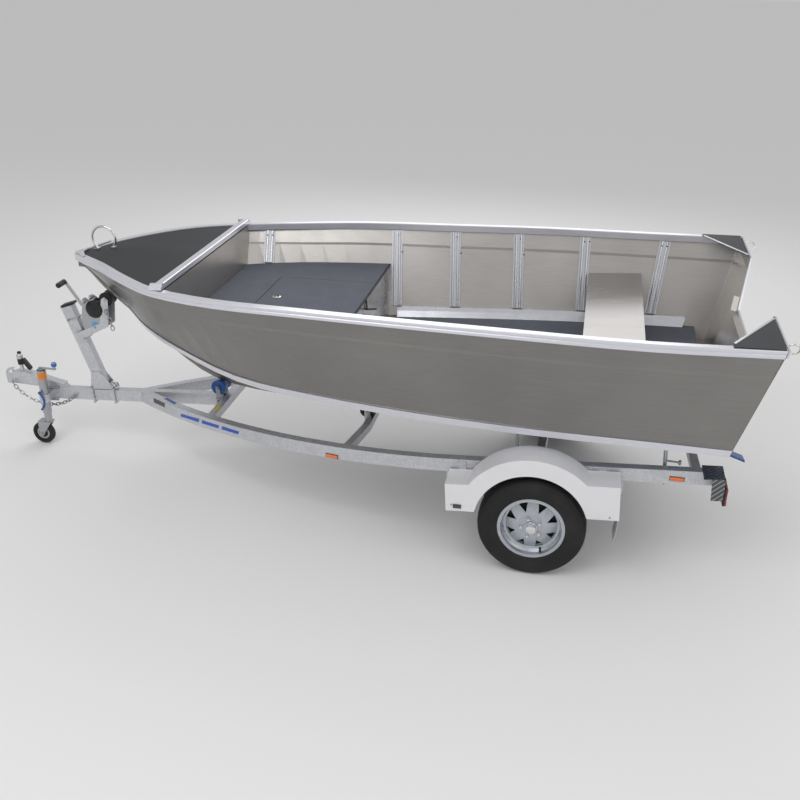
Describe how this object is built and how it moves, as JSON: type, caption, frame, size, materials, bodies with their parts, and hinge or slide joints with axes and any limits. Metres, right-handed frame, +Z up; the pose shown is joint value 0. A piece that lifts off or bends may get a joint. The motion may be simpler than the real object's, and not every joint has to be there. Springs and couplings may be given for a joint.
{
  "type": "aluminium fishing boat on a trailer",
  "caption": "Open aluminium fishing boat with a casting platform and thwart, on a galvanised single-axle trailer with winch post and jockey wheel.",
  "frame": {"origin": "middle of the bounding box at ground level, under the hull just forward of the axle", "axes": "+X to the bow and the tow coupling, +Y to port, +Z up from the ground"},
  "size_m": [4.7322, 1.974, 1.5057],
  "materials": {
    "aluminium_plate": "mill finish, lightly brushed",
    "aluminium_extrusion": "bright extruded",
    "deck_coating": "dark non-slip coating",
    "dark_trim": "dark satin",
    "carpet": "charcoal marine carpet",
    "stainless_steel": "polished",
    "galvanised_steel": "hot-dip galvanised, spangled",
    "spring_steel": "dull grey",
    "white_paint": "white gloss",
    "blue_plastic": "moulded blue",
    "black_plastic": "moulded black",
    "black_rubber": "moulded",
    "grey_rubber": "moulded",
    "tyre_rubber": "moulded tread",
    "red_lens": "moulded lens"
  },
  "bodies": {
    "rig": {"hull_bottom": "aluminium_plate", "hull_side_port": "aluminium_plate", "hull_side_starboard": "aluminium_plate", "chine_rails": "aluminium_extrusion", "keel_bar": "aluminium_extrusion", "gunwales": "aluminium_extrusion", "bow_cap": "aluminium_extrusion", "foredeck": "deck_coating", "deck_beam": "aluminium_extrusion", "deck_bulkhead": "aluminium_plate", "bow_ring": "stainless_steel", "transom": "aluminium_plate", "transom_cap": "dark_trim", "corner_plates": "dark_trim", "stern_rings": "stainless_steel", "side_ribs": "aluminium_extrusion", "inner_rails": "aluminium_plate", "floor_board": "carpet", "platform": "carpet", "platform_bulkhead": "aluminium_plate", "thwart": "aluminium_extrusion", "drawbar": "galvanised_steel", "side_beam_port": "galvanised_steel", "side_beam_starboard": "galvanised_steel", "cross_members": "galvanised_steel", "coupling": "galvanised_steel", "coupling_lever": "black_plastic", "safety_chain": "galvanised_steel", "jack_clamp": "galvanised_steel", "jack_tube": "galvanised_steel", "winch_post": "galvanised_steel", "winch_arm": "galvanised_steel", "winch_frame": "galvanised_steel", "snub_chain": "galvanised_steel", "axle": "galvanised_steel", "leaf_springs": "spring_steel", "spring_hangers": "galvanised_steel", "mudguards": "white_paint", "guard_brackets": "galvanised_steel", "mud_flaps": "grey_rubber", "bunk_posts": "galvanised_steel", "bunk_skids": "blue_plastic", "roller_brackets": "galvanised_steel", "rear_steps": "spring_steel", "tail_lamps": "red_lens"},
    "wheel_port": {"tyre_port": "tyre_rubber", "rim_port": "galvanised_steel"},
    "wheel_starboard": {"tyre_starboard": "tyre_rubber", "rim_starboard": "galvanised_steel"},
    "jack_leg": {"jack_fork": "galvanised_steel"},
    "jockey": {"jack_wheel": "black_rubber"},
    "bow_roller_body": {"bow_roller": "black_rubber"},
    "keel_roller_fore_body": {"keel_roller_fore": "blue_plastic"},
    "keel_roller_mid_body": {"keel_roller_mid": "black_rubber"},
    "winch_drum_body": {"winch_drum": "black_plastic"},
    "winch_crank_body": {"winch_crank": "stainless_steel"},
    "hatch": {"hatch_lid": "carpet"}
  },
  "joints": [
    {"name": "wheel_port_spin", "type": "hinge", "parent": "rig", "child": "wheel_port", "pos_m": [-1.20663, 0.812, 0.29], "axis": [0, 1, 0], "continuous": true},
    {"name": "wheel_starboard_spin", "type": "hinge", "parent": "rig", "child": "wheel_starboard", "pos_m": [-1.20663, -0.812, 0.29], "axis": [0, 1, 0], "continuous": true},
    {"name": "jack_swivel", "type": "hinge", "parent": "rig", "child": "jack_leg", "pos_m": [2.04966, 0.091, 0.16], "axis": [0, 0, 1], "continuous": true},
    {"name": "jockey_spin", "type": "hinge", "parent": "jack_leg", "child": "jockey", "pos_m": [2.09466, 0.091, 0.076], "axis": [0, 1, 0], "continuous": true},
    {"name": "bow_roller_spin", "type": "hinge", "parent": "rig", "child": "bow_roller_body", "pos_m": [1.56639, 0, 1.03982], "axis": [0, 1, 0], "continuous": true},
    {"name": "keel_roller_fore_spin", "type": "hinge", "parent": "rig", "child": "keel_roller_fore_body", "pos_m": [0.8468, 0, 0.52227], "axis": [0, 1, 0], "continuous": true},
    {"name": "keel_roller_mid_spin", "type": "hinge", "parent": "rig", "child": "keel_roller_mid_body", "pos_m": [-0.1209, 0, 0.47434], "axis": [0, 1, 0], "continuous": true},
    {"name": "winch_drum_spin", "type": "hinge", "parent": "rig", "child": "winch_drum_body", "pos_m": [1.64386, 0, 0.97225], "axis": [0, 1, 0], "continuous": true},
    {"name": "winch_crank_spin", "type": "hinge", "parent": "rig", "child": "winch_crank_body", "pos_m": [1.70507, 0, 1.01609], "axis": [0, 1, 0], "continuous": true},
    {"name": "hatch_hinge", "type": "hinge", "parent": "rig", "child": "hatch", "pos_m": [0.54634, 0, 1.14211], "axis": [0, 1, 0], "range_deg": [0, 100]}
  ],
  "couplings": [
    {"joint": "winch_crank_spin", "follows": "winch_drum_spin", "ratio": -2.2622}
  ]
}
